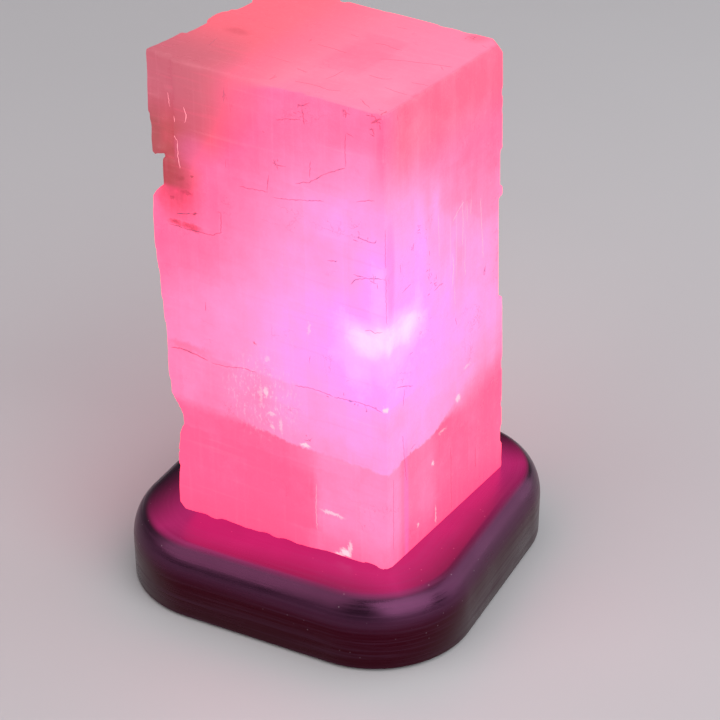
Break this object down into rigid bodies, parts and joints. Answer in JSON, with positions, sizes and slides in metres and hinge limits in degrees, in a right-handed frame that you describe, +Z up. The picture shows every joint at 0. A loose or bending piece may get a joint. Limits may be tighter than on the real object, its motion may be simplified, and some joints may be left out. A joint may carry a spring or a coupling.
{
  "type": "manganoan calcite specimen",
  "caption": "Pink manganoan calcite cleavage block, lit from below, resting on a low black rounded-square display stand with a soft rim",
  "frame": {"origin": "the middle of the stand's underside, on the face of the grip pad that rests on the table", "axes": "+Z up; the stand's sides run along X and Y; the power inlet faces +Y, and the block's near edge faces between +X and -Y"},
  "size_m": [0.0842, 0.0876, 0.1159],
  "materials": {
    "calcite": "translucent cleaved mineral with a glassy to pearly lustre, glowing from the lamp below it",
    "gloss_black": "polished black with fine rubbed streaks",
    "frosted": "frosted white diffuser",
    "matt_black": "fine moulded grain",
    "rubber": "matt, lightly scuffed",
    "circuit": "white solder mask",
    "diode": "clear cast resin",
    "steel": "bright nickel plate"
  },
  "bodies": {
    "root": {"calcite_block": "calcite", "stand_housing": "gloss_black", "light_window": "frosted", "bottom_plate": "matt_black", "grip_pad": "rubber", "led_board": "circuit", "power_inlet": "steel", "plate_screw_1": "steel", "plate_screw_2": "steel", "plate_screw_3": "steel", "plate_screw_4": "steel", "led_1": "diode", "led_2": "diode", "led_3": "diode", "led_4": "diode"}
  },
  "joints": []
}
